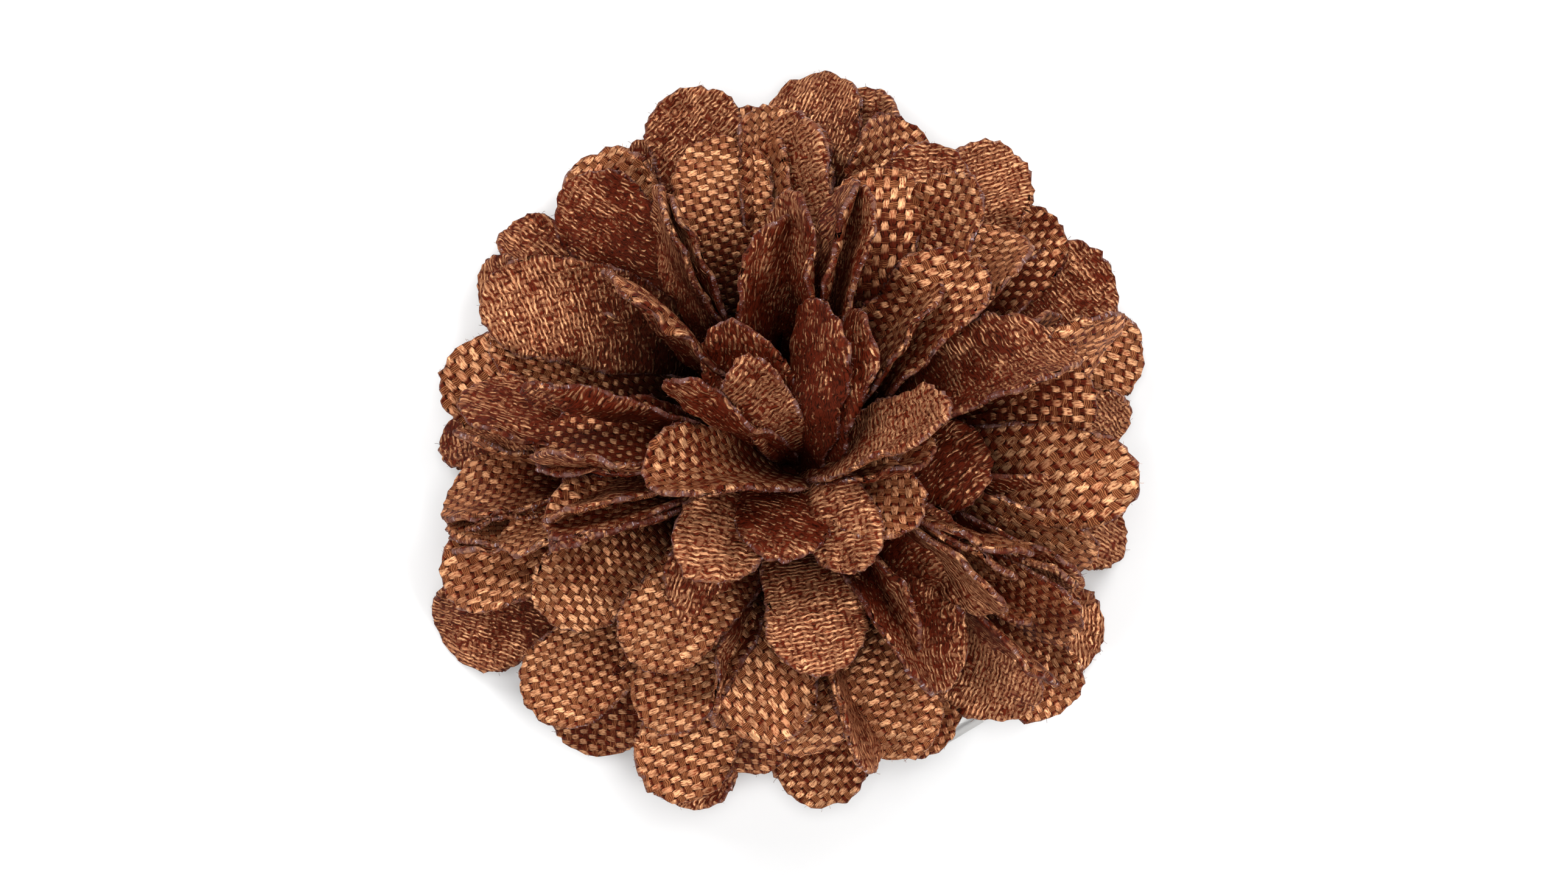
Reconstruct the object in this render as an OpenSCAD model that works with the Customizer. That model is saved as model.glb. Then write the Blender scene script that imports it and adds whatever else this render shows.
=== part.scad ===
// Flower lapel pin: a ball of cloth petals in five layers on a folded metal pin.
// It lies on its back. +Z is the way the flower faces, +X is its right and +Y its top.

/* [Head] */
// Radius of the head across its petal tips
head_r = 23; // [20:0.5:26]
// Height of the dome of petal tips above the dome's centre
head_depth = 20; // [17:0.5:23]
// Height of the dome's centre above the surface that the pin lies on
head_z = 3.5; // [3.3:0.1:4.5]
// Radius of the disc at the middle of the back layer
disc_r = 8.6; // [8:0.1:9.5]
// How much smaller each disc is than the one under it
disc_step = 1.5; // [1.2:0.1:1.7]

/* [Petals] */
// Width of a petal at its widest
petal_w = 6.3; // [5:0.1:7]
// Width of a petal at its root
root_w = 1.5; // [1.2:0.1:2]
// Thickness of the cloth
cloth_t = 1; // [0.8:0.05:1.2]
// Gap between one layer and the next
layer_gap = 0.2; // [0.15:0.05:0.4]

/* [Pin] */
// Direction of the pin's folded end, in degrees from +X
pin_turn = -59; // [-75:1:-45]
// Distance of the folded end from the middle of the head
pin_reach = 21.3; // [19:0.1:23]
// Length of the flat bar, its fold left out
bar_length = 29; // [24:0.5:32]
// Width of the flat bar
bar_w = 4.6; // [3.5:0.1:6]
// Thickness of the bar
bar_t = 0.8; // [0.6:0.05:1]
// Radius of the needle
needle_r = 0.5; // [0.4:0.05:0.6]
// Length of the needle from the folded strip to its point
needle_length = 29; // [25:0.5:33]
// Length of the needle's point
point_length = 2.5; // [1.5:0.1:4]

/* [Hidden] */
round_fn = 48;

// The middle of the head, which sits a little low and right within the outline
head_x = 1.02;
head_y = -1.36;

// Cloth discs lie on each other from the back to the heart, the first a little below the
// dome's centre
disc_pitch = cloth_t + layer_gap;
disc_drop = 0.2;
disc_under = head_z - disc_drop;
back_z = disc_under + cloth_t / 2;

// The bar lies under the back disc, and the needle on the surface. The strip between them is
// folded round, and narrower than the bar
needle_z = needle_r;
bar_gap = 0.15;
bar_z = disc_under - bar_gap - bar_t;
strip_z = needle_z - bar_t / 2;
strip_w = 3.2;
strip_length = 2.4;
fold_r = (bar_z + bar_t - strip_z) / 2;
fold_x = pin_reach - fold_r;
point_r = 0.08;

// Layers from the heart outwards, with the steepest and the flattest lean of their tips
// and how far a petal's middle stands off the straight line, as a share of its length
//       place  lean_from  lean_to  bow    sides of the disc
HEART  = [4,    -60,       35,      0.28,  12];
INNER  = [3,    35,        55,      0.22,  16];
MIDDLE = [2,    55,        69,      0.17,  18];
OUTER  = [1,    69,        83,      0.12,  20];
BACK   = [0,    83,        101,     0.08,  24];

root_depth = 0.7;
function root_radius(layer) = disc_r - root_depth - disc_step * layer[0];
function root_height(layer) = back_z + disc_pitch * layer[0];

// Petals of each layer. turn: direction of the tip. reach and rise: place of the tip as shares
// of head_r and head_depth. sweep: how far round the root lies from the tip. roll: turn about
// the petal's own length, with the reverse up past 90. wide: share of petal_w
HEART_PETALS = [
//   turn  reach  rise  sweep  roll  wide
    [120,  0.35,  0.96,    0,  -50,  1.00],
    [-62,  0.31,  0.94,    0,   54,  0.95],
    [-33,  0.37,  0.84,    0,  -10,  0.95],
    [ 24,  0.44,  0.95,    0,  -25,  1.00],
    [  0,  0.38,  0.80,    0,  -30,  0.95],
    [-105, 0.30,  0.88,    0,   43,  1.00],
    [ 90,  0.45,  0.97,    0,  115,  1.00],
    [ 72,  0.45,  0.93,    0,  122,  1.00],
    [-171, 0.44,  0.90,    0,   35,  1.05],
    [154,  0.47,  0.95,    0,  112,  0.95],
    [-137, 0.45,  0.82,    0,   13,  0.95],
    [117,  0.45,  0.76,    0,  -40,  1.00]
];
INNER_PETALS = [
    [-127, 0.55,  0.68,    0,  170,  1.00],
    [-84,  0.60,  0.72,    0,    0,  1.02],
    [ 96,  0.70,  0.70,   26, -125,  0.95],
    [ 88,  0.75,  0.74,    0,  -65,  0.90],
    [ 57,  0.64,  0.66,    0,  -55,  1.00],
    [ -1,  0.54,  0.66,    0,  180,  1.00],
    [-38,  0.54,  0.68,    0, -140,  1.00],
    [-55,  0.62,  0.66,    0,   80,  0.85],
    [-129, 0.74,  0.67,    0,   -5,  1.00],
    [173,  0.75,  0.72,    0,   50,  1.00],
    [-173, 0.73,  0.71,    0,   75,  0.85],
    [-160, 0.74,  0.74,    0,   80,  0.85],
    [-24,  0.70,  0.72,    0,   80,  0.85],
    [-34,  0.71,  0.72,    0,   70,  0.85],
    [ 75,  0.79,  0.73,    0,  -80,  0.80],
    [ 50,  0.76,  0.67,    0,  -44,  1.00],
    [132,  0.76,  0.72,    0,  -70,  0.85],
    [163,  0.80,  0.76,    0,  110,  0.85],
    [-56,  0.76,  0.64,    0,  -35,  0.95],
    [ 27,  0.84,  0.74,    0,  -35,  1.05]
];
MIDDLE_PETALS = [
    [ 73,  0.89,  0.46,    0,  -10,  1.00],
    [118,  0.85,  0.46,    0,  -80,  0.85],
    [-165, 0.88,  0.47,    0,   60,  0.90],
    [-147, 0.85,  0.47,  -20,   10,  1.00],
    [-118, 0.86,  0.44,    0,   10,  1.00],
    [-107, 0.79,  0.42,    0,  -60,  0.90],
    [-98,  0.81,  0.46,    0,    0,  1.03],
    [-88,  0.86,  0.40,    0,   10,  0.95],
    [-77,  0.90,  0.48,   -8,  -65,  0.90],
    [-70,  0.91,  0.46,    0,    5,  1.05],
    [-35,  0.80,  0.44,    0,   70,  0.85],
    [-33,  0.93,  0.48,    0,   60,  0.90],
    [-12,  0.86,  0.45,    0,   50,  0.95],
    [ -3,  0.95,  0.52,    0,   10,  1.03],
    [ 13,  0.86,  0.45,    0,  -15,  1.00],
    [ 19,  1.00,  0.52,    0,   45,  0.95],
    [ 34,  0.84,  0.46,    0,  -70,  0.90],
    [ 48,  0.91,  0.45,    0,  -20,  1.00],
    [ 58,  0.93,  0.48,    0,  -42,  1.00],
    [171,  0.97,  0.50,    0,   40,  0.95]
];
OUTER_PETALS = [
    [ 90,  0.99,  0.28,    0,  -30,  1.00],
    [104,  0.97,  0.33,    8,    0,  1.02],
    [100,  0.98,  0.22,    0,  -15,  1.00],
    [129,  1.03,  0.28,    0,  165,  1.00],
    [154,  1.02,  0.33,  -25,    5,  1.08],
    [159,  0.94,  0.24,  -15,  -10,  1.00],
    [178,  0.98,  0.26,    0,   45,  0.95],
    [-176, 1.04,  0.28,    0,   35,  1.00],
    [-168, 1.02,  0.25,    0,   30,  1.00],
    [-161, 1.08,  0.25,    0,   30,  1.00],
    [-140, 0.90,  0.24,    0,   15,  1.00],
    [-137, 1.05,  0.28,    0,   10,  1.00],
    [-112, 1.03,  0.24,    0,   -5,  1.05],
    [-102, 0.93,  0.22,    0,   20,  1.00],
    [-63,  0.93,  0.24,    0,  -10,  0.90],
    [-52,  0.98,  0.31,    0,   15,  1.03],
    [ 65,  0.99,  0.28,    0,  -10,  1.00],
    [ 75,  1.03,  0.24,    0,    5,  1.00],
    [ 93,  1.04,  0.20,    0,   10,  1.00]
];
BACK_PETALS = [
    [108,  1.09,  0.04,    0,    0,  1.02],
    [ 88,  1.10,  0.04,    0,    0,  1.02],
    [ 80,  1.05,  0.00,    0,  -10,  1.00],
    [ 56,  1.04,  0.02,    0,    5,  1.00],
    [ 44,  1.00,  0.03,    0,    0,  1.00],
    [ 30,  0.99,  0.00,    0,  -15,  1.00],
    [ 21,  1.00, -0.11,    0,   10,  1.00],
    [  6,  0.94, -0.04,    0,   20,  0.95],
    [-12,  0.96, -0.08,    0,    0,  0.95],
    [-33,  1.00, -0.12,    0,    0,  1.00],
    [-42,  1.04,  0.02,    0,   20,  0.95],
    [-86,  0.97, -0.02,    0,    0,  1.03],
    [-92,  0.94, -0.12,    0,   10,  1.00],
    [-110, 1.04, -0.07,    0,    0,  1.05],
    [-127, 1.03,  0.02,    0,    0,  1.00],
    [-153, 1.12, -0.12,    0,    0,  1.08],
    [-164, 1.01, -0.06,    0,   10,  1.00],
    [175,  1.03, -0.10,    0,   35,  0.95],
    [166,  1.03,  0.00,    0,    0,  1.08],
    [151,  1.06,  0.04,    0,  -10,  1.00],
    [141,  1.05, -0.08,    0,   25,  0.90],
    [126,  1.06,  0.05,    0,    5,  1.00],
    [119,  1.03,  0.02,    0,  -15,  1.00]
];

// Sections of a petal from the top of its stem to its rounded tip, with a point at each end
//   along  width as a share of the widest
SECTIONS = [
    [0.36,  0.46],
    [0.70,  0.97],
    [0.94,  0.66]
];
root_point = 0.32;
tip_point = 1;
section_sides = 6;

// A petal turns about its own length up to this share of it
roll_ends_at = 0.5;
// The hollow across a petal is no deeper than that of a ring of this many half widths
least_cup_r = 1.5;
slope_step = 0.02;

// How far the stem reaches into the petal, and its size there as a share of the petal's
stem_overlap = 0.03;
stem_share = 0.7;
stem_r = 0.5;

function unit(v) = v / norm(v);
function ease(u) = u <= 0 ? 0 : u >= 1 ? 1 : u * u * (3 - 2 * u);
function tip_lean(row) = atan2(row[1], row[2]);

// Radius and height of a petal's middle line
function root_rz(layer) = [root_radius(layer), root_height(layer)];
function tip_rz(row) = [head_r * row[1], head_z + head_depth * row[2]];
function middle_rz(row, layer, u) =
    let (
        a = root_rz(layer),
        b = tip_rz(row),
        up = [-(b[1] - a[1]), b[0] - a[0]] * layer[3]
    )
    a + (b - a) * u + up * 4 * u * (1 - u);
function middle_point(row, layer, u) =
    let (rz = middle_rz(row, layer, u), turn = row[0] + row[3] * (1 - u))
    [rz[0] * cos(turn), rz[0] * sin(turn), rz[1]];

// Half of the room that a petal has between the layers on both sides of its own
function petal_room(row, layer, u) =
    let (
        lean = tip_lean(row),
        spare = min(lean - layer[1], layer[2] - lean) * PI / 180,
        tip_room = spare * norm([head_r * row[1], head_depth * row[2]])
    )
    disc_pitch / 2 * (1 - u) + tip_room * u - cloth_t / 2 - layer_gap;

function petal_half_width(row, layer, section) =
    let (
        u = section[0],
        full = max(root_w, petal_w * row[5] * section[1]) / 2,
        tilt = abs(sin(row[4] * ease(u / roll_ends_at)))
    )
    tilt * full > petal_room(row, layer, u) ? max(root_w / 3, petal_room(row, layer, u) / tilt) : full;

// One cross-section: a strip that is hollow towards the heart, as the layer is round it
function petal_ring(row, layer, section) =
    let (
        u = section[0],
        at = middle_point(row, layer, u),
        along = unit(middle_point(row, layer, u + slope_step) - middle_point(row, layer, u - slope_step)),
        turn = row[0] + row[3] * (1 - u),
        round_way = [-sin(turn), cos(turn), 0],
        side = unit(round_way - along * (round_way * along)),
        face = cross(along, side),
        roll = row[4] * ease(u / roll_ends_at),
        across = side * cos(roll) + face * sin(roll),
        out = face * cos(roll) - side * sin(roll),
        half = petal_half_width(row, layer, section),
        radius = max(middle_rz(row, layer, u)[0], half * least_cup_r),
        cup = half * half / (2 * radius) * cos(roll),
        t = cloth_t / 2
    )
    [
        at - across * half + out * (cup + t),
        at + out * t,
        at + across * half + out * (cup + t),
        at + across * half + out * (cup - t),
        at - out * t,
        at - across * half + out * (cup - t)
    ];

// Triangles between neighbouring rings, and from an end ring to its point
function side_faces(rings) = [
    for (i = [0 : rings - 2], j = [0 : section_sides - 1])
    let (
        a = i * section_sides + j,
        b = i * section_sides + (j + 1) % section_sides,
        c = b + section_sides,
        d = a + section_sides
    )
    each [[a, b, c], [a, c, d]]
];
function end_faces(first, point) = [
    for (j = [0 : section_sides - 1]) [first + j, first + (j + 1) % section_sides, point]
];
function turned_round(faces) = [for (f = faces) [f[2], f[1], f[0]]];

module petal(row, layer) {
    rings = len(SECTIONS);
    points = [for (section = SECTIONS) each petal_ring(row, layer, section)];
    ends = [middle_point(row, layer, root_point), middle_point(row, layer, tip_point)];
    polyhedron(
        concat(points, ends),
        concat(
            side_faces(rings),
            turned_round(end_faces(0, rings * section_sides)),
            end_faces((rings - 1) * section_sides, rings * section_sides + 1)
        )
    );
}

// The gathered stem of a petal, from the disc to just inside the petal's first section
module stem(row, layer) {
    ring = petal_ring(row, layer, SECTIONS[0] + [stem_overlap, 0]);
    middle = (ring[1] + ring[4]) / 2;
    corners = [for (k = [0, 2, 3, 5]) middle + (ring[k] - middle) * stem_share];
    hull() {
        rotate(row[0] + row[3])
            translate([root_radius(layer), 0, root_height(layer)])
                cylinder(r = stem_r, h = cloth_t * stem_share, center = true, $fn = 3);
        polyhedron(corners, [[0, 1, 2, 3], [3, 2, 1, 0]]);
    }
}

module layer_of_petals(rows, layer) {
    translate([head_x, head_y, 0]) {
        translate([0, 0, root_height(layer) - cloth_t / 2])
            cylinder(r = root_radius(layer) + root_depth, h = cloth_t, $fn = layer[4]);
        for (row = rows) {
            petal(row, layer);
            stem(row, layer);
        }
    }
}

module petals_heart() {
    color("#8a4a26") layer_of_petals(HEART_PETALS, HEART);
}

module petals_inner() {
    color("#9a5730") layer_of_petals(INNER_PETALS, INNER);
}

module petals_middle() {
    color("#a9652f") layer_of_petals(MIDDLE_PETALS, MIDDLE);
}

module petals_outer() {
    color("#b87438") layer_of_petals(OUTER_PETALS, OUTER);
}

module petals_back() {
    color("#9c6238") layer_of_petals(BACK_PETALS, BACK);
}

module pin() {
    color("#b9b9bd")
        translate([head_x, head_y, 0])
            rotate(pin_turn) {
                translate([fold_x - bar_length, -bar_w / 2, bar_z])
                    cube([bar_length, bar_w, bar_t]);
                translate([fold_x, strip_w / 2, strip_z + fold_r])
                    rotate([90, 90, 0])
                        rotate_extrude(angle = 180, $fn = round_fn)
                            translate([fold_r - bar_t, 0])
                                square([bar_t, strip_w]);
                translate([fold_x - strip_length, -strip_w / 2, strip_z])
                    cube([strip_length, strip_w, bar_t]);
                translate([fold_x - strip_length, 0, needle_z])
                    rotate([0, -90, 0]) {
                        cylinder(r = needle_r, h = needle_length - point_length, $fn = round_fn);
                        translate([0, 0, needle_length - point_length])
                            cylinder(r1 = needle_r, r2 = point_r, h = point_length, $fn = round_fn);
                    }
            }
}

petals_heart();
petals_inner();
petals_middle();
petals_outer();
petals_back();
pin();
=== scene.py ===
import bpy
import math
import random
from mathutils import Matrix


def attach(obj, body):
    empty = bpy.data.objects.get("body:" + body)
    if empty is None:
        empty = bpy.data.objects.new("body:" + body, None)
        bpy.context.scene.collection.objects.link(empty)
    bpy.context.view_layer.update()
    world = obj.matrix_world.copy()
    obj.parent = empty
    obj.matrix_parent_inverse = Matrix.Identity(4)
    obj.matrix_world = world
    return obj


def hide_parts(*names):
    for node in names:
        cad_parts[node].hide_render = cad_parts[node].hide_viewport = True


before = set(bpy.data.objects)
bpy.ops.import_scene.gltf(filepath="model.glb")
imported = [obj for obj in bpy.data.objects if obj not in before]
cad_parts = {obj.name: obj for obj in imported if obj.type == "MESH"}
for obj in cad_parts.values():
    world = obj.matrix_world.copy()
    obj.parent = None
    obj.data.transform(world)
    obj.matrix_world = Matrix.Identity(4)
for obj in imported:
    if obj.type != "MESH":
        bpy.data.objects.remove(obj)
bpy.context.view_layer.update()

mm = 0.001

# Build of the head, with the sizes that the CAD has but thinner cloth. Lengths are in millimetres
head = {
    "centre": (1.02, -1.36),
    "radius": 23.0,
    "depth": 20.0,
    "domeHeight": 3.5,
    "discRadius": 8.6,
    "discStep": 1.5,
    "discUnder": 3.3,
    "discThickness": 1.0,
    "discPitch": 1.2,
    "rootDepth": 0.7,
    "petalWidth": 6.3,
    "rootShare": 0.3,  # width at the root as a share of the widest
    "bowStretch": 2.6,  # how much longer a bowed petal is than its chord
    "clothThickness": 0.5,
    "cutShare": 0.86,  # area of a petal as a share of its width times its length
    "columns": 29,
    "rows": 45,
}

# Layers from the heart outwards. place counts the discs from the back one. The tone ranges are lower in
# the heart
# and at the back: painted shade where the petals lie deep, on top of tone that differs at random
layers = {
    "petals_heart": {"place": 4, "bow": 0.28, "toneAndShade": (0.0, 0.5)},
    "petals_inner": {"place": 3, "bow": 0.22, "toneAndShade": (0.1, 0.8)},
    "petals_middle": {"place": 2, "bow": 0.17, "toneAndShade": (0.3, 1.0)},
    "petals_outer": {"place": 1, "bow": 0.12, "toneAndShade": (0.4, 1.0)},
    "petals_back": {"place": 0, "bow": 0.08, "toneAndShade": (0.2, 0.9)},
}

# One row for each petal. turn: direction of the tip. reach, rise: place of the tip as shares of
# the head's radius and depth. sweep: how far round the root lies. roll: turn about the petal's
# length. wide: share of the width. side: which side of the cloth faces the viewer. grain: angle
# of the gold yarns from the petal's length
#   turn   reach  rise  sweep roll  wide  side     grain
petals = {
    "petals_heart": [
        (120,  0.35,  0.96,   0,  -50, 1.00, "crepe",  70),
        (-58,  0.34,  0.94,   0,   54, 0.95, "crepe", -60),
        (-27,  0.38,  0.84,   0,  -10, 0.90, "basket", 60),
        (11,   0.45,  0.95,   0,  -25, 1.00, "crepe",  80),
        (0,    0.38,  0.80,   0,  -30, 0.95, "basket", 20),
        (-105, 0.30,  0.88,   0,   43, 1.00, "crepe",  90),
        (90,   0.45,  0.97,   0,  115, 1.00, "crepe",  10),
        (72,   0.45,  0.93,   0,  122, 1.00, "crepe",  30),
        (-171, 0.44,  0.90,   0,   35, 1.05, "basket", 75),
        (154,  0.47,  0.95,   0,  112, 0.62, "crepe",   0),
        (-137, 0.45,  0.82,   0,   13, 0.95, "crepe",  60),
        (117,  0.45,  0.76,   0,  -40, 1.00, "crepe",  45),
    ],
    "petals_inner": [
        (-127, 0.55,  0.68,   0,  170, 1.00, "crepe",  20),
        (-84,  0.60,  0.72,   0,    0, 1.02, "crepe",  85),
        (96,   0.70,  0.70,  26, -125, 0.95, "crepe",   5),
        (88,   0.75,  0.74,   0,  -65, 0.90, "crepe",  15),
        (57,   0.64,  0.66,   0,  -55, 1.00, "basket", 10),
        (-1,   0.54,  0.66,   0,  180, 1.00, "crepe",  40),
        (-38,  0.54,  0.68,   0, -140, 1.00, "crepe",  70),
        (-55,  0.62,  0.66,   0,   80, 0.85, "crepe",   0),
        (-129, 0.74,  0.67,   0,   -5, 1.00, "basket", 40),
        (173,  0.75,  0.72,   0,   50, 1.00, "basket", 15),
        (-178, 0.74,  0.73,   0,   60, 0.90, "basket",  0),
        (-173, 0.73,  0.71,   0,   75, 0.85, "crepe",  30),
        (-166, 0.74,  0.72,   0,   60, 0.90, "basket", 20),
        (-160, 0.74,  0.74,   0,   80, 0.85, "crepe",  80),
        (-24,  0.70,  0.72,   0,   80, 0.85, "crepe",  10),
        (-29,  0.69,  0.70,   0,   75, 0.85, "basket", 60),
        (-34,  0.71,  0.72,   0,   70, 0.85, "crepe",  20),
        (84,   0.80,  0.74,   0,  -85, 0.80, "crepe",  40),
        (75,   0.79,  0.73,   0,  -80, 0.80, "crepe",   0),
        (50,   0.76,  0.67,   0,  -44, 1.00, "basket", 25),
        (132,  0.76,  0.72,   0,  -70, 0.85, "crepe",  10),
        (163,  0.80,  0.76,   0,  110, 0.50, "crepe",  60),
        (-56,  0.76,  0.64,   0,  -35, 0.95, "crepe",  30),
        (27,   0.84,  0.74,   0,  -35, 1.05, "crepe",  75),
    ],
    "petals_middle": [
        (73,   0.89,  0.46,   0,  -10, 1.00, "basket", 30),
        (118,  0.85,  0.46,   0,  -80, 0.85, "crepe",   0),
        (123,  0.88,  0.47,   0,  -65, 0.90, "crepe",  30),
        (-165, 0.88,  0.47,   0,   70, 0.90, "basket", 15),
        (-147, 0.85,  0.47, -20,   10, 1.00, "basket", 80),
        (-118, 0.86,  0.44,   0,   10, 1.00, "basket", 45),
        (-107, 0.79,  0.42,   0,  -60, 0.90, "crepe",  20),
        (-98,  0.81,  0.46,   0,    0, 1.03, "basket", -52),
        (-88,  0.86,  0.40,   0,   10, 0.95, "basket", 60),
        (-77,  0.90,  0.48,  -8,  -65, 0.90, "crepe",  10),
        (-70,  0.91,  0.46,   0,    5, 1.05, "basket", 85),
        (-41,  0.96,  0.50,   0,   80, 0.85, "crepe",   0),
        (-35,  0.80,  0.44,   0,   70, 0.85, "crepe",  50),
        (-33,  0.93,  0.48,   0,   60, 0.90, "basket", 30),
        (-28,  0.89,  0.46,   0,   35, 0.95, "crepe",  10),
        (-25,  0.86,  0.47,   0,   80, 0.85, "crepe",  70),
        (-21,  0.89,  0.46,   0,   35, 0.95, "basket", 20),
        (-12,  0.86,  0.45,   0,   50, 0.95, "crepe",  30),
        (-3,   0.95,  0.52,   0,   10, 1.03, "basket", 43),
        (13,   0.86,  0.45,   0,  -15, 1.00, "basket", 10),
        (19,   1.00,  0.52,   0,   45, 0.95, "basket",  0),
        (34,   0.84,  0.46,   0,  -70, 0.90, "crepe",  20),
        (48,   0.91,  0.45,   0,  -20, 1.00, "basket", 15),
        (58,   0.93,  0.48,   0,  -42, 1.00, "basket", 85),
        (171,  0.97,  0.50,   0,   52, 0.95, "crepe",  10),
    ],
    "petals_outer": [
        (90,   0.99,  0.28,   0,  -30, 1.00, "crepe",  75),
        (104,  0.97,  0.33,   8,    0, 1.02, "basket", -85),
        (100,  0.98,  0.22,   0,  -15, 1.00, "basket", 60),
        (129,  1.03,  0.28,   0,  165, 1.00, "crepe",  20),
        (154,  1.02,  0.33, -25,    5, 1.08, "crepe",  64),
        (159,  0.94,  0.24, -15,  -10, 1.00, "basket", 10),
        (178,  0.98,  0.26,   0,   60, 0.95, "crepe",  60),
        (-176, 1.04,  0.28,   0,   55, 1.00, "basket", 20),
        (-171, 1.00,  0.25,   0,   66, 0.90, "crepe",  70),
        (-168, 1.02,  0.25,   0,   58, 1.00, "basket", 80),
        (-163, 1.01,  0.25,   0,   70, 0.85, "crepe",  10),
        (-161, 1.08,  0.25,   0,   30, 1.00, "basket", -9),
        (-140, 0.90,  0.24,   0,   15, 1.00, "basket", 75),
        (-137, 1.05,  0.28,   0,   10, 1.00, "basket", 30),
        (-112, 1.03,  0.24,   0,   -5, 1.05, "basket", 50),
        (-102, 0.93,  0.22,   0,   20, 1.00, "basket", 80),
        (-65,  0.93,  0.24,   0,  -10, 0.90, "basket", 10),
        (-49,  0.98,  0.31,   0,   15, 1.00, "crepe",  70),
        (65,   0.99,  0.28,   0,  -10, 1.00, "crepe",  65),
        (72,   1.05,  0.24,   0,    5, 1.00, "basket", 20),
        (93,   1.04,  0.20,   0,   10, 1.00, "basket", 45),
    ],
    "petals_back": [
        (108,  1.12,  0.04,   0,    0, 1.02, "crepe",  60),
        (99,   1.03, -0.02,   0,   10, 1.00, "basket", 10),
        (88,   1.15,  0.04,   0,    0, 1.02, "crepe",  20),
        (80,   1.10,  0.00,   0,  -10, 1.00, "crepe",  80),
        (56,   1.08,  0.02,   0,    5, 1.00, "crepe",  40),
        (44,   1.02,  0.03,   0,    0, 1.00, "basket", 15),
        (32,   1.05,  0.00,   0,  -15, 1.00, "crepe",  80),
        (20,   1.04, -0.11,   0,   10, 1.00, "basket", 30),
        (6,    0.98, -0.04,   0,   20, 0.95, "crepe",  50),
        (-12,  1.00, -0.08,   0,    0, 0.95, "crepe",  10),
        (-33,  1.04, -0.12,   0,    0, 1.00, "crepe",  60),
        (-42,  1.06,  0.02,   0,   20, 0.95, "basket", 20),
        (-86,  0.99, -0.02,   0,    0, 1.03, "basket", 45),
        (-92,  0.88, -0.12,   0,   10, 1.00, "crepe",  80),
        (-110, 1.06, -0.07,   0,    0, 1.05, "crepe",  15),
        (-128, 1.07,  0.02,   0,    0, 1.00, "basket", 60),
        (-153, 1.19, -0.09,   0,    0, 1.08, "crepe",  35),
        (-164, 1.03, -0.06,   0,   10, 1.00, "crepe",  10),
        (175,  1.05, -0.10,   0,   35, 0.95, "crepe",  70),
        (166,  1.05,  0.00,   0,    0, 1.08, "basket", 35),
        (151,  1.10,  0.04,   0,  -10, 0.78, "crepe",  60),
        (141,  1.09, -0.08,   0,   25, 0.72, "crepe",   0),
        (126,  1.07,  0.05,   0,    5, 1.00, "basket", 80),
        (119,  1.05,  0.02,   0,  -15, 1.00, "crepe",  30),
    ],
}

# Dyes of the cloth and its shine, with painted light and shade. The four cover weights: how much the tip
# (painted light on the tips), a petal's tone (partly painted shade), its redness and chance patches
# change the share of gold
# that shows. The root value: brightness at the root against 1 at the tip, painted shade. reliefDepth is
# in millimetres
cloth = {
    "gold": (0.95, 0.475, 0.235),
    "goldShade": (0.20, 0.036, 0.012),
    "threadGold": (0.50, 0.180, 0.070),
    "threadRed": (0.16, 0.020, 0.007),
    "ground": (0.150, 0.0175, 0.0060),
    "gap": (0.016, 0.0018, 0.0008),
    "edge": (0.095, 0.024, 0.015),
    "edgeMauve": (0.165, 0.078, 0.066),
    "edgeSpeck": (0.54, 0.44, 0.48),
    "coverPaintedTipLight": 0.75,
    "coverToneAndShade": 0.5,
    "coverRed": 0.40,
    "coverPatchy": 1.3,
    "paintedRootShadeLevel": 0.02,
    "goldMetal": 0.60,
    "threadMetal": 0.3,
    "specular": 0.09,
    "specularTint": (1.0, 0.55, 0.35, 1.0),
    "reliefDepth": 0.12,
}


# Node outputs that add and multiply like numbers

class Wire:
    def __init__(self, tree, socket):
        self.tree = tree
        self.socket = socket

    def __add__(self, other): return calc("ADD", self, other)
    def __radd__(self, other): return calc("ADD", other, self)
    def __sub__(self, other): return calc("SUBTRACT", self, other)
    def __rsub__(self, other): return calc("SUBTRACT", other, self)
    def __mul__(self, other): return calc("MULTIPLY", self, other)
    def __rmul__(self, other): return calc("MULTIPLY", other, self)
    def __truediv__(self, other): return calc("DIVIDE", self, other)
    def __pow__(self, other): return calc("POWER", self, other)


def newNode(tree, kind, **values):
    node = tree.nodes.new(kind)
    for name, value in values.items():
        setattr(node, name, value)
    return node


def out(node, name=0):
    return Wire(node.id_data, node.outputs[name])


def plug(value, socket):
    if isinstance(value, Wire):
        value.tree.links.new(value.socket, socket)
    elif socket.type == "VECTOR" and not isinstance(value, tuple):
        socket.default_value = (value, value, value)
    elif socket.type == "RGBA" and len(value) == 3:
        socket.default_value = (*value, 1)
    else:
        socket.default_value = value


def isVector(value):
    if isinstance(value, Wire):
        return value.socket.type in ("VECTOR", "RGBA")
    return isinstance(value, tuple)


def calc(operation, *values):
    tree = next(v.tree for v in values if isinstance(v, Wire))
    vector = any(isVector(v) for v in values)
    node = newNode(tree, "ShaderNodeVectorMath" if vector else "ShaderNodeMath", operation=operation)
    for value, socket in zip(values, node.inputs):
        plug(value, socket)
    return out(node, 1 if operation in ("DOT_PRODUCT", "LENGTH") else 0)


def ease(value, low, high, start=0.0, end=1.0):
    node = newNode(value.tree, "ShaderNodeMapRange", interpolation_type="SMOOTHSTEP")
    for v, socket in zip((value, low, high, start, end), node.inputs):
        plug(v, socket)
    return out(node)


def pointOf(x, y, z=0.0):
    tree = next(v.tree for v in (x, y, z) if isinstance(v, Wire))
    node = newNode(tree, "ShaderNodeCombineXYZ")
    for v, socket in zip((x, y, z), node.inputs):
        plug(v, socket)
    return out(node)


def partsOf(vector):
    node = newNode(vector.tree, "ShaderNodeSeparateXYZ")
    plug(vector, node.inputs[0])
    return [Wire(vector.tree, s) for s in node.outputs]


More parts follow.
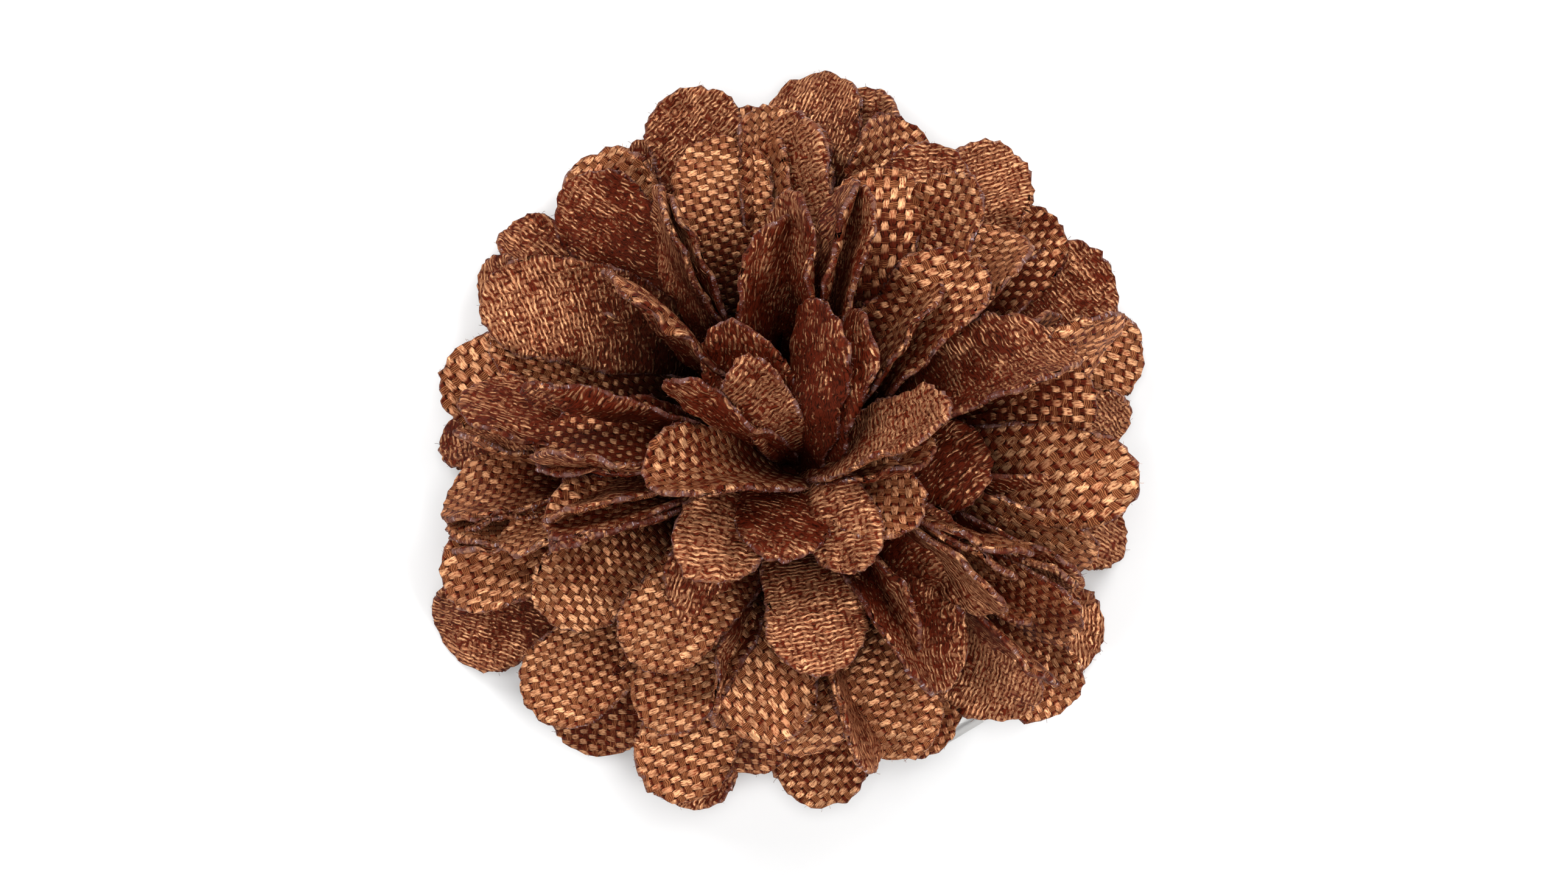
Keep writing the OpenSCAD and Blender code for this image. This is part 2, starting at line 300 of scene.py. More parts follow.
def noise(vector, scale, detail=2.0, color=False):
    node = newNode(vector.tree, "ShaderNodeTexNoise")
    for name, value in (("Vector", vector), ("Scale", scale), ("Detail", detail)):
        plug(value, node.inputs[name])
    return out(node, 1 if color else 0)


def chanceAt(vector):
    node = newNode(vector.tree, "ShaderNodeTexWhiteNoise")
    plug(vector, node.inputs["Vector"])
    return out(node, "Value")


def mix(share, a, b):
    node = newNode(share.tree, "ShaderNodeMix", data_type="RGBA")
    plug(share, node.inputs["Factor"])
    for value, socket in zip((a, b), [s for s in node.inputs if s.type == "RGBA"]):
        plug(value, socket)
    return Wire(share.tree, next(s for s in node.outputs if s.type == "RGBA"))


# a where first is 1, else b
def pick(first, a, b):
    return a * first + b * (1 - first)


def newTree(name, kind, inputs, outputs):
    tree = bpy.data.node_groups.new(name, kind)
    for label, socketKind, value in inputs:
        socket = tree.interface.new_socket(label, in_out="INPUT", socket_type="NodeSocket" + socketKind)
        if value is not None:
            socket.default_value = value
    for label, socketKind in outputs:
        tree.interface.new_socket(label, in_out="OUTPUT", socket_type="NodeSocket" + socketKind)
    start = newNode(tree, "NodeGroupInput")
    end = newNode(tree, "NodeGroupOutput")
    return tree, {s.name: Wire(tree, s) for s in start.outputs if s.name}, end


def useGroup(tree, group, **values):
    node = newNode(tree, "ShaderNodeGroup", node_tree=group)
    for name, value in values.items():
        plug(value, node.inputs[name])
    return {s.name: Wire(tree, s) for s in node.outputs}


def attribute(tree, name, output="Fac"):
    return out(newNode(tree, "ShaderNodeAttribute", attribute_name=name), output)


def newMaterial(name):
    material = bpy.data.materials.new(name)
    material.use_nodes = True
    return material, material.node_tree, material.node_tree.nodes["Principled BSDF"]


def plugBump(tree, shader, height, depth, strength=1.0):
    bump = newNode(tree, "ShaderNodeBump")
    bump.inputs["Strength"].default_value = strength
    bump.inputs["Distance"].default_value = depth * mm
    plug(height, bump.inputs["Height"])
    plug(out(bump, "Normal"), shader.inputs["Normal"])


# The cloth's two sides and its sealed edge. Place is in millimetres on the flat cloth, X along
# the gold yarns

weaveOutputs = [("Body", "Float"), ("Gold", "Float"), ("Thread", "Float"), ("Thread Gold", "Float"),
                ("Fibre", "Float"), ("Chance", "Float"), ("Height", "Float")]

# The pitches and wander are in millimetres. floatHalf, crossHalf: half the length and width of a
# float, and of a group of crossing threads, as shares of the pitches
basket = {
    "floatPitch": 1.26,
    "rowPitch": 0.86,
    "threadPitch": 0.100,
    "wander": 0.34,
    "floatHalf": (0.43, 0.28),
    "crossHalf": (0.19, 0.31),
    "roughness": 0.52,
}


def makeBasketWeave():
    tree, get, end = newTree("basketWeave", "ShaderNodeTree", [
        ("Place", "Vector", None), ("Cover", "Float", 0.6),
        ("Float Pitch", "Float", basket["floatPitch"]), ("Row Pitch", "Float", basket["rowPitch"]),
        ("Thread Pitch", "Float", basket["threadPitch"]),
    ], weaveOutputs)
    wander = noise(get["Place"], 0.8, 2.0, color=True)
    px, py, pz = partsOf(get["Place"] + (wander - 0.5) * basket["wander"])
    ends = noise(pointOf(px * 1.3, py * 11.0, pz), 1.0, 2.0) - 0.5
    x, y = px / get["Float Pitch"], py / get["Row Pitch"]

    # Broad satin floats, golden on their upper part and dark red where they dive under: a painted
    # highlight on the raised part of each float and painted shade on the end that dives
    def floatAt(shiftX, shiftY):
        halfLong, halfWide = basket["floatHalf"]
        gx, gy = x + shiftX, y + shiftY
        fx, fy = calc("FRACT", gx) - 0.5, calc("FRACT", gy) - 0.5
        chance = chanceAt(pointOf(calc("FLOOR", gx), calc("FLOOR", gy), shiftX))
        mx = fx + fy * 0.10 + ends * 0.16
        body = 1 - (calc("ABSOLUTE", mx) / halfLong) ** 2.6 - (calc("ABSOLUTE", fy) / halfWide) ** 2.3
        first = 0.16 - get["Cover"] * 0.36 + (chance - 0.5) * 0.10
        lit = ease(mx, first - 0.09, first + 0.07) * (1 - ease(mx, 0.24, 0.37))
        return body, lit, chance

    a, litA, chanceA = floatAt(0.0, 0.0)
    b, litB, chanceB = floatAt(0.5, 0.5)
    firstOver = calc("GREATER_THAN", a, b)
    satin = calc("MAXIMUM", calc("MAXIMUM", a, b), 0.0)
    body = ease(satin, 0.0, 0.34)
    lit, chance = pick(firstOver, litA, litB), pick(firstOver, chanceA, chanceB)

    # Groups of fine threads that cross between the floats
    def crossingAt(shiftX, shiftY):
        halfLong, halfWide = basket["crossHalf"]
        fx, fy = calc("FRACT", x + shiftX) - 0.5, calc("FRACT", y + shiftY) - 0.5
        fromLine = (calc("ABSOLUTE", fx + fy * 0.06) / halfLong) ** 3.0
        return 1 - fromLine - (calc("ABSOLUTE", fy + ends * 0.1) / halfWide) ** 3.0

    crossing = ease(calc("MAXIMUM", crossingAt(0.5, 0.0), crossingAt(0.0, 0.5)), 0.0, 0.35)
    twist = noise(pointOf(px * 1.6, py * 3.0, pz + 3.0), 1.0, 1.0)
    wave = px / get["Thread Pitch"] + twist * 1.8
    chanceThread = chanceAt(pointOf(calc("FLOOR", wave + 0.5), calc("FLOOR", y * 2.0), 2.0))
    ridge = ease(calc("COSINE", wave * 2 * math.pi), -1.3, 0.7)
    thread = ridge * crossing * (0.35 + 0.55 * chanceThread)
    # The gold shows only on each float's painted highlight
    gold = body * lit * (1 - crossing * 0.85)
    body = body * (1 - crossing) + 0.6 * crossing
    fibre = noise(pointOf(px * 3.6 + py * 2.4, py * 13.0 - px * 1.2, pz), 1.0, 3.0)
    # The crossing threads turn gold with Cover, so they carry its painted light on the tips and painted
    # shade at the roots
    threadGold = ease(get["Cover"] + (chanceThread - 0.5) * 0.4, 0.30, 0.85)
    height = body * (0.40 + 0.30 * satin) + fibre * body * 0.34 + thread * 0.24
    for name, value in (("Body", body), ("Gold", gold), ("Thread", thread), ("Thread Gold", threadGold),
                        ("Fibre", fibre), ("Chance", chance), ("Height", height)):
        plug(value, end.inputs[name])
    return tree


# linePitch, dashLength and wander are in millimetres. crossPitch, crossLength, crossShare: pitch,
# dash length and strength of the lines that cross, as shares of the other lines'
crepe = {
    "linePitch": 0.29,
    "dashLength": 0.38,
    "wander": 0.54,
    "crossPitch": 1.5,
    "crossLength": 0.7,
    "crossShare": 0.35,
    "roughness": 0.54,
}


def makeCrepeWeave():
    tree, get, end = newTree("crepeWeave", "ShaderNodeTree", [
        ("Place", "Vector", None), ("Cover", "Float", 0.6), ("Line Pitch", "Float", crepe["linePitch"]),
        ("Dash Length", "Float", crepe["dashLength"]),
    ], weaveOutputs)
    wander = noise(get["Place"], 1.4, 3.0, color=True)
    px, py, pz = partsOf(get["Place"] + (wander - 0.5) * crepe["wander"])
    patch = noise(pointOf(px * 1.1, py * 1.8, pz + 9.0), 1.0, 2.0)
    # Cover carries the painted light on the tips and the painted shade at the roots and on deep petals
    share = calc("MAXIMUM", get["Cover"] + (patch - 0.5) * 0.9, 0.0)

    # Lines of gold thread that break into dashes, thin where little gold shows
    def dashes(run, rise, pitch, length, seed):
        row = rise / pitch
        line = calc("FLOOR", row)
        start = chanceAt(pointOf(line, seed, 1.0)) * 5
        strength = noise(pointOf(run / length + start, line * 2.3 + seed, pz), 1.0, 1.0)
        away = calc("ABSOLUTE", calc("FRACT", row) - 0.5 + (strength - 0.5) * 0.3)
        width = 0.17 + 0.12 * share
        shown = ease(strength - 0.60 + 0.23 * share, -0.03, 0.09)
        chance = chanceAt(pointOf(calc("FLOOR", run / length + start), line, seed))
        return shown * (1 - ease(away, width - 0.12, width + 0.10)), chance

    pitch, length = get["Line Pitch"], get["Dash Length"]
    a, chanceA = dashes(px, py, pitch, length, 3.0)
    b, chanceB = dashes(py, px, pitch * crepe["crossPitch"], length * crepe["crossLength"], 8.0)
    b = b * crepe["crossShare"] * ease(share, 0.25, 0.8)
    chance = pick(calc("GREATER_THAN", a, b), chanceA, chanceB)
    gold = calc("MAXIMUM", a, b)
    fibre = noise(pointOf(px * 3.5, py * 15.0, pz), 1.0, 3.0)
    body = ease(fibre + patch * 0.6, 0.30, 0.85)
    height = gold * (0.45 + 0.35 * chance) + fibre * 0.30 + patch * 0.7
    for name, value in (("Body", body), ("Gold", gold), ("Fibre", fibre), ("Chance", chance),
                        ("Height", height)):
        plug(value, end.inputs[name])
    return tree


# mauve, speck: where in the noise each starts to show and is full
sealing = {
    "width": 0.080,  # in millimetres
    "mauve": (0.46, 0.66),
    "speck": (0.58, 0.72),
}


def makeSealedEdge():
    tree, get, end = newTree("sealedEdge", "ShaderNodeTree", [
        ("Place", "Vector", None), ("Rim", "Float", 1.0), ("Edge Width", "Float", 0.2),
    ], [("Edge", "Float"), ("Mauve", "Float"), ("Speck", "Float"), ("Height", "Float")])
    beads = noise(get["Place"], 1.5, 3.0)
    crumbs = noise(get["Place"], 8.0, 2.0)
    width = get["Edge Width"] * calc("MAXIMUM", beads * 4.2 - 1.3 + (crumbs - 0.5) * 1.8, 0.05)
    edge = 1 - ease(get["Rim"], width * 0.45, width * 1.15 + 0.02)
    mauve = ease(noise(get["Place"] + (2.0, 7.0, 3.0), 1.6, 4.0), *sealing["mauve"])
    speck = ease(noise(get["Place"] + (5.0, 3.0, 1.0), 8.0, 2.0), *sealing["speck"])
    height = edge * (0.3 + beads * 0.3 + crumbs * 0.9)
    for name, value in (("Edge", edge), ("Mauve", mauve), ("Speck", speck * edge), ("Height", height)):
        plug(value, end.inputs[name])
    return tree


def clothMaterial(name, weave, plainRoughness):
    material, tree, shader = newMaterial(name)
    place = attribute(tree, "weave", "Vector")
    rim = attribute(tree, "rim")
    toneAndShade = attribute(tree, "toneAndShade")
    redness = attribute(tree, "redness")
    along = attribute(tree, "along")
    soft = noise(place, 0.45, 3.0)

    # More gold shows towards the tip and dark red towards the root: painted light on the tips and
    # painted shade at the roots
    cover = cloth["coverPaintedTipLight"] * ease(along, 0.20, 1.0) + cloth["coverToneAndShade"] * toneAndShade
    cover = cover - cloth["coverRed"] * redness + (soft - 0.5) * cloth["coverPatchy"]
    cover = calc("MINIMUM", calc("MAXIMUM", cover, 0.0), 1.0)
    woven = useGroup(tree, weave, Place=place, Cover=cover)
    sealed = useGroup(tree, edgeGroup, Place=place, Rim=rim, **{"Edge Width": sealing["width"]})
    goldDye = mix(ease(woven["Fibre"], 0.30, 0.62), cloth["goldShade"], cloth["gold"])
    goldDye = mix(ease(woven["Chance"], 0.1, 0.95, 0.0, 0.55), goldDye, cloth["goldShade"])
    redDye = mix(ease(woven["Fibre"], 0.25, 0.65), cloth["gap"], cloth["ground"])
    threadDye = mix(woven["Thread Gold"], cloth["threadRed"], cloth["threadGold"])
    dye = mix(woven["Body"], cloth["gap"], redDye)
    dye = mix(woven["Thread"], dye, threadDye)
    dye = mix(woven["Gold"], dye, goldDye)
    # Painted shade: the cloth darkens towards the root, where the petals lie deep in each other's shade
    paintedRootShade = ease(along, 0.18, 0.90, cloth["paintedRootShadeLevel"], 1.0)
    # The tone darkens whole petals, partly at random and partly as painted shade on deep and shaded
    # petals
    dye = dye * (0.64 + toneAndShade * 0.28 + (soft - 0.5) * 0.5) * paintedRootShade
    edgeDye = mix(sealed["Mauve"], cloth["edge"], cloth["edgeMauve"])
    edgeDye = mix(sealed["Speck"], edgeDye, cloth["edgeSpeck"])
    dye = mix(sealed["Edge"] * (0.5 + 0.4 * sealed["Mauve"]), dye, edgeDye)
    plug(dye, shader.inputs["Base Color"])

    plain = 1 - sealed["Edge"] * 0.8
    metal = woven["Gold"] * cloth["goldMetal"] + woven["Thread"] * cloth["threadMetal"]
    roughness = plainRoughness - 0.16 * woven["Gold"] + sealed["Edge"] * 0.10 - sealed["Speck"] * 0.3
    plug(roughness, shader.inputs["Roughness"])
    plug(metal * plain, shader.inputs["Metallic"])
    shader.inputs["Specular IOR Level"].default_value = cloth["specular"]
    shader.inputs["Specular Tint"].default_value = cloth["specularTint"]
    plugBump(tree, shader, woven["Height"] * plain + sealed["Height"], cloth["reliefDepth"])
    return material


basketGroup = makeBasketWeave()
crepeGroup = makeCrepeWeave()
edgeGroup = makeSealedEdge()
basketCloth = clothMaterial("basketCloth", basketGroup, basket["roughness"])
crepeCloth = clothMaterial("crepeCloth", crepeGroup, crepe["roughness"])
print("cloth materials made")


# One tree makes a layer: its petals on a cloth disc, with frayed fibres along their edges

def named(tree, name, kind="FLOAT"):
    node = newNode(tree, "GeometryNodeInputNamedAttribute", data_type=kind)
    node.inputs["Name"].default_value = name
    return Wire(tree, next(s for s in node.outputs if s.enabled and s.name == "Attribute"))


def store(geometry, name, value, kind="FLOAT"):
    node = newNode(geometry.tree, "GeometryNodeStoreNamedAttribute", data_type=kind, domain="POINT")
    plug(geometry, node.inputs["Geometry"])
    node.inputs["Name"].default_value = name
    plug(value, next(s for s in node.inputs if s.enabled and s.name == "Value"))
    return out(node)


def setPlace(geometry, position=None, offset=None):
    node = newNode(geometry.tree, "GeometryNodeSetPosition")
    plug(geometry, node.inputs["Geometry"])
    if position is not None:
        plug(position, node.inputs["Position"])
    if offset is not None:
        plug(offset, node.inputs["Offset"])
    return out(node)


def join(tree, *pieces):
    node = newNode(tree, "GeometryNodeJoinGeometry")
    for piece in pieces:
        tree.links.new(piece.socket, node.inputs[0])
    return out(node)


def setCloth(geometry, material, chosen=None):
    node = newNode(geometry.tree, "GeometryNodeSetMaterial")
    plug(geometry, node.inputs["Geometry"])
    if chosen is not None:
        plug(chosen, node.inputs["Selection"])
    plug(material, node.inputs["Material"])
    return out(node)


def between(tree, kind, low, high):
    node = newNode(tree, "FunctionNodeRandomValue", data_type=kind)
    sockets = [s for s in node.inputs if s.enabled and s.name in ("Min", "Max")]
    for value, socket in zip((low, high), sockets):
        socket.default_value = value
    return Wire(tree, next(s for s in node.outputs if s.enabled))


# A flat grid for each petal, which keeps the values of the petal's row
def petalGrids(tree, get):
    grid = newNode(tree, "GeometryNodeMeshGrid")
    for name, value in (("Size X", 1.0), ("Size Y", 1.0), ("Vertices X", get["Columns"]),
                        ("Vertices Y", get["Rows"])):
        plug(value, grid.inputs[name])
    copies = newNode(tree, "GeometryNodeInstanceOnPoints")
    plug(get["Petals"], copies.inputs["Points"])
    plug(out(grid), copies.inputs["Instance"])
    sheets = newNode(tree, "GeometryNodeRealizeInstances")
    plug(out(copies), sheets.inputs["Geometry"])
    return out(sheets)


# How a petal strays from an even bow, in millimetres, and its edge from an even cut, the sides
# as shares of the half width
straying = {
    "raggedSide": 0.24,
    "unevenSide": 0.28,
    "raggedTip": 1.1,
    "wave": 2.2,
    "flutter": 2.6,
    "crinkle": 0.6,
}


# The grids as petals, each with its place on the flat cloth (weave), the distance from the cut
# edge (rim) and the share of the way to the tip (along)
def petalSheets(tree, get):
    turn, sweep, roll = named(tree, "turn"), named(tree, "sweep"), named(tree, "roll")
    reach, rise, wide = named(tree, "reach"), named(tree, "rise"), named(tree, "wide")
    cup, curl, number = named(tree, "cup"), named(tree, "curl"), named(tree, "number")
    twist, fold, grain = named(tree, "twist"), named(tree, "fold"), named(tree, "grain")

    # A point's way across the petal, as an angle, and its share of the way to the tip
    spot = partsOf(out(newNode(tree, "GeometryNodeInputPosition")))
    theta = spot[0] * math.pi
    sinTheta, cosTheta = calc("SINE", theta), calc("COSINE", theta)
    edgeShare = calc("ABSOLUTE", sinTheta)
    g = calc("MAXIMUM", 0.5 - spot[1], 0.0)
    u = 1 - g ** 1.5

    # The outline, with a round tip
    rootR, rootZ, bow = get["Root Radius"], get["Root Height"], get["Bow"]
    spanR = get["Head Radius"] * reach - rootR
    spanZ = get["Dome Height"] + get["Head Depth"] * rise - rootZ
    stretch = 1 + bow * bow * head["bowStretch"]
    length = calc("SQRT", spanR * spanR + spanZ * spanZ) * stretch
    roundTip = get["Petal Width"] * wide * 0.5
    halfWidth = roundTip * (get["Root Share"] + (1 - get["Root Share"]) * ease(u, 0.0, 0.68))
    ragged = noise(pointOf(spot[0] * 16.0, u * 22.0, number * 7.3), 1.0, 2.0) - 0.5
    uneven = noise(pointOf(u * 2.2, calc("SIGN", spot[0]) * 3.0, number * 2.9), 1.0, 1.0) - 0.5
    evenX = halfWidth * sinTheta
    raggedSide = straying["raggedSide"] * ragged * edgeShare ** 4.0
    x = evenX * (-1 - raggedSide - straying["unevenSide"] * uneven)
    evenV = u - roundTip / length * (1 - cosTheta) * u * u
    v = evenV + (straying["raggedTip"] * ragged / length) * u ** 9.0
    y = v * length

    # The bowed middle line from the root to the tip, in radius and height, and how it lies
    lineR = rootR + spanR * v - spanZ * bow * 4.0 * v * (1 - v)
    lineZ = rootZ + spanZ * v + spanR * bow * 4.0 * v * (1 - v)
    slopeR = spanR - spanZ * bow * 4.0 * (1 - v * 2.0)
    slopeZ = spanZ + spanR * bow * 4.0 * (1 - v * 2.0)
    angle = turn + sweep * (1 - v)
    outward = pointOf(calc("COSINE", angle), calc("SINE", angle))
    roundWay = pointOf(calc("SINE", angle) * -1.0, calc("COSINE", angle))
    upward = pointOf(angle * 0.0, 0.0, 1.0)
    along = calc("NORMALIZE", outward * slopeR - roundWay * (lineR * sweep) + upward * slopeZ)
    side = calc("NORMALIZE", roundWay - along * calc("DOT_PRODUCT", roundWay, along))
    face = calc("CROSS_PRODUCT", along, side)
    rho = roll * ease(v, 0.0, 0.5) + twist * v * v
    across = side * calc("COSINE", rho) + face * calc("SINE", rho)
    front = face * calc("COSINE", rho) - side * calc("SINE", rho)

    # Hollow, curled tip, soft waves, fold, flutter and crinkles
    wave = noise(pointOf(x * 0.22, y * 0.16, number * 3.1), 1.0, 1.0) - 0.5
    flutter = noise(pointOf(x * 0.35, y * 0.42, number * 5.7 + 20.0), 1.0, 1.0) - 0.5
    crinkle = noise(pointOf(x * 0.8, y * 0.7, number * 4.3), 1.0, 1.0) - 0.5
    tip = calc("MAXIMUM", v * 1.8 - 0.8, 0.0)
    lift = x * x * cup * 0.5 * ease(v, 0.0, 0.6) + curl * length * tip * tip
    lift = lift + wave * straying["wave"] * v + fold * ease(x / halfWidth, 0.0, 1.0) * v
    lift = lift + flutter * straying["flutter"] * edgeShare ** 3.0 * v
    lift = lift + crinkle * straying["crinkle"] * v
    place = outward * lineR + upward * lineZ + across * x + front * lift

    # How far a point lies from the cut edge, and its place on the flat cloth
    fromTip = calc("MAXIMUM", evenV * length - (length - roundTip), 0.0)
    rim = halfWidth - calc("SQRT", evenX * evenX + fromTip * fromTip)
    rim = calc("MAXIMUM", calc("MINIMUM", rim, y), 0.0)
    inside = calc("LESS_THAN", edgeShare, 0.9999)
    rim = rim * inside * calc("GREATER_THAN", g, 0.0001) * calc("LESS_THAN", g, 0.9999)
    cosGrain, sinGrain = calc("COSINE", grain), calc("SINE", grain)
    weave = pointOf(y * cosGrain - x * sinGrain, y * sinGrain + x * cosGrain) * named(tree, "weaveScale")
    weave = weave + pointOf(number * 17.0, number * 5.0, number)
    sheet = store(petalGrids(tree, get), "weave", weave, "FLOAT_VECTOR")
    sheet = store(sheet, "rim", rim)
    sheet = store(sheet, "along", v)
    return setPlace(sheet, position=place * mm)


# Front and back, half the cloth's thickness apart and closed round the edge
def thickCloth(tree, get, sheet):
    normal = out(newNode(tree, "GeometryNodeInputNormal"))
    nearEdge = calc("MINIMUM", named(tree, "rim") / (get["Cloth Thickness"] * 0.5), 1.0)
    half = get["Cloth Thickness"] * 0.5 * mm * calc("SQRT", nearEdge * (2 - nearEdge))
    basketUp = calc("GREATER_THAN", named(tree, "basketUp"), 0.5)
    top = setPlace(sheet, offset=normal * half)
    top = setCloth(setCloth(top, get["Basket Cloth"]), get["Crepe Cloth"], 1 - basketUp)
    under = newNode(tree, "GeometryNodeFlipFaces")
    plug(setPlace(sheet, offset=normal * half * -1.0), under.inputs[0])
    under = setCloth(setCloth(out(under), get["Basket Cloth"]), get["Crepe Cloth"], basketUp)
    weld = newNode(tree, "GeometryNodeMergeByDistance")
    plug(join(tree, top, under), weld.inputs["Geometry"])
    weld.inputs["Distance"].default_value = 1e-7
    return out(weld)


# Form and growth of the loose fibres. rim and the places are in millimetres, fray is the number
# on a square millimetre, and lean and size are the ends of what is drawn
fibres = {
    "rim": 0.14,
    "fray": 1.6,
    "start": (0, 0, -0.05),
    "middle": (0, 0, 0.13),
    "end": (0.1, 0, 0.22),
    "radius": 0.01,
    "sides": 3,
    "lean": ((-0.9, -0.9, 0.0), (0.9, 0.9, 6.28)),
    "size": (0.5, 1.5),
}


def looseFibres(tree, get, cut):
    scatter = newNode(tree, "GeometryNodeDistributePointsOnFaces")
    plug(cut, scatter.inputs["Mesh"])
    plug(calc("LESS_THAN", named(tree, "rim"), fibres["rim"]), scatter.inputs["Selection"])
    plug(get["Fray"] * 1e6, scatter.inputs["Density"])
    plug(get["Seed"], scatter.inputs["Seed"])
    bend = newNode(tree, "GeometryNodeCurveQuadraticBezier")
    bend.inputs["Resolution"].default_value = 2
    for name, point in (("Start", "start"), ("Middle", "middle"), ("End", "end")):
        bend.inputs[name].default_value = [c * mm for c in fibres[point]]
    ring = newNode(tree, "GeometryNodeCurvePrimitiveCircle")
    ring.inputs["Resolution"].default_value = fibres["sides"]
    ring.inputs["Radius"].default_value = fibres["radius"] * mm
    hair = newNode(tree, "GeometryNodeCurveToMesh")
    plug(out(bend), hair.inputs["Curve"])
    plug(out(ring), hair.inputs["Profile Curve"])
    hair.inputs["Fill Caps"].default_value = True
    tilt = newNode(tree, "FunctionNodeRotateRotation", rotation_space="LOCAL")
    plug(out(scatter, "Rotation"), tilt.inputs[0])
    plug(between(tree, "FLOAT_VECTOR", *fibres["lean"]), tilt.inputs[1])
    hairs = newNode(tree, "GeometryNodeInstanceOnPoints")
    plug(out(scatter, "Points"), hairs.inputs["Points"])
    plug(out(hair), hairs.inputs["Instance"])
    plug(out(tilt), hairs.inputs["Rotation"])
    plug(between(tree, "FLOAT", *fibres["size"]), hairs.inputs["Scale"])
    return setCloth(out(hairs), get["Crepe Cloth"])


# The disc that carries the roots, a little puckered and rounded at its edge
def rootDisc(tree, get):
    drum = newNode(tree, "GeometryNodeMeshCylinder", fill_type="TRIANGLE_FAN")
    for name, value in (("Vertices", 56), ("Side Segments", 4), ("Fill Segments", 7),
                        ("Radius", get["Disc Radius"]), ("Depth", get["Disc Thickness"])):
        plug(value, drum.inputs[name])
    dx, dy, dz = partsOf(out(newNode(tree, "GeometryNodeInputPosition")))
    level = dz / get["Disc Thickness"] * 2.0
    fromMiddle = calc("LENGTH", pointOf(dx, dy))
    disc = store(out(drum, "Mesh"), "weave", pointOf(dx + 40.0, dy + 30.0, dz), "FLOAT_VECTOR")
    for name, value in (("rim", get["Disc Radius"] - fromMiddle), ("along", fromMiddle * 0.0),
                        ("toneAndShade", fromMiddle * 0.0 + 0.5), ("redness", fromMiddle * 0.0 + 0.5)):
        disc = store(disc, name, value)
    shrink = 1 - 0.022 * level * level
    pucker = noise(pointOf(dx * 0.5, dy * 0.5, 4.0), 1.0, 2.0) - 0.5
    place = pointOf(dx * shrink, dy * shrink, dz * 0.92 + pucker * 0.12 + get["Root Height"])
    return setCloth(setPlace(disc, position=place * mm), get["Crepe Cloth"])


def makePetalLayer():
    tree, get, end = newTree("petalLayer", "GeometryNodeTree", [
        ("Petals", "Geometry", None),
        ("Root Radius", "Float", 7.9), ("Root Height", "Float", 3.8), ("Bow", "Float", 0.08),
        ("Head Radius", "Float", head["radius"]), ("Head Depth", "Float", head["depth"]),
        ("Dome Height", "Float", head["domeHeight"]), ("Petal Width", "Float", head["petalWidth"]),
        ("Root Share", "Float", head["rootShare"]), ("Cloth Thickness", "Float", head["clothThickness"]),
        ("Disc Radius", "Float", head["discRadius"]), ("Disc Thickness", "Float", head["discThickness"]),
        ("Columns", "Int", head["columns"]), ("Rows", "Int", head["rows"]),
        ("Fray", "Float", fibres["fray"]), ("Seed", "Int", 1),
        ("Basket Cloth", "Material", None), ("Crepe Cloth", "Material", None),
    ], [("Layer", "Geometry")])
    cut = thickCloth(tree, get, petalSheets(tree, get))
    whole = newNode(tree, "GeometryNodeRealizeInstances")
    plug(join(tree, cut, looseFibres(tree, get, cut), rootDisc(tree, get)), whole.inputs["Geometry"])
    plug(out(whole), end.inputs["Layer"])
    return tree


layerTree = makePetalLayer()


petalSettings = ("turn", "reach", "rise", "sweep", "roll", "wide", "cup", "curl", "twist", "fold",
                 "number", "grain", "weaveScale", "basketUp")

# Ends of the values that are drawn for each petal. Angles are in degrees
drawn = {
    "cup": (-0.02, 0.26),
    "curl": (-0.12, 0.08),
    "twist": (-22, 22),
    "grainShift": (-6, 6),
    "weaveScale": (0.88, 1.12),
    "redness": (0.0, 0.9),
}
